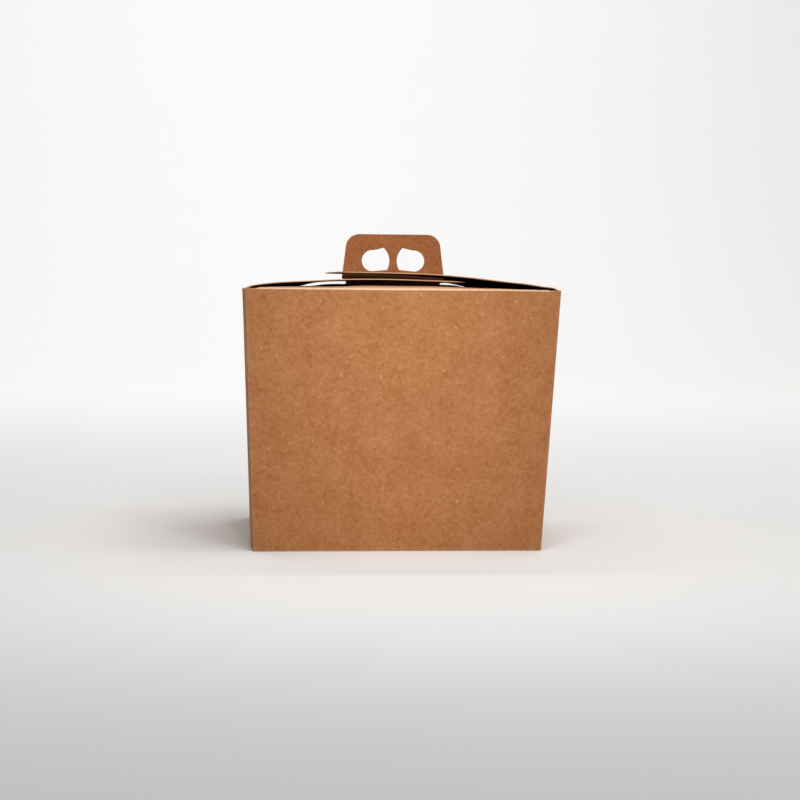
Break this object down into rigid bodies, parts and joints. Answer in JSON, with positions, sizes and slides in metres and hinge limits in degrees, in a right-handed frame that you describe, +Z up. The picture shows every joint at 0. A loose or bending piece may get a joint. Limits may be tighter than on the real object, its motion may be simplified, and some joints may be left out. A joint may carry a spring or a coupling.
{
  "type": "panettone box",
  "caption": "Square kraft carton with leaning walls, a folded carry handle with finger holes, and a lid of overlapping flaps that opens from the right.",
  "frame": {"origin": "centre of the square base, on the surface that the box stands on", "axes": "+Z up; -Y is the front panel of the picture, +X its right side, where the outer lid flap is hinged; the handle stands along X"},
  "size_m": [0.217, 0.217, 0.221],
  "materials": {
    "kraft_board": "matt uncoated kraft, brown outside, dry and slightly fibrous"
  },
  "bodies": {
    "carton": {"carton": "kraft_board"},
    "right_flap": {"right_flap": "kraft_board"}
  },
  "joints": [
    {"name": "right_flap_hinge", "type": "hinge", "parent": "carton", "child": "right_flap", "pos_m": [0.1105, 0, 0.1808], "axis": [0, 1, 0], "range_deg": [0, 240]}
  ]
}
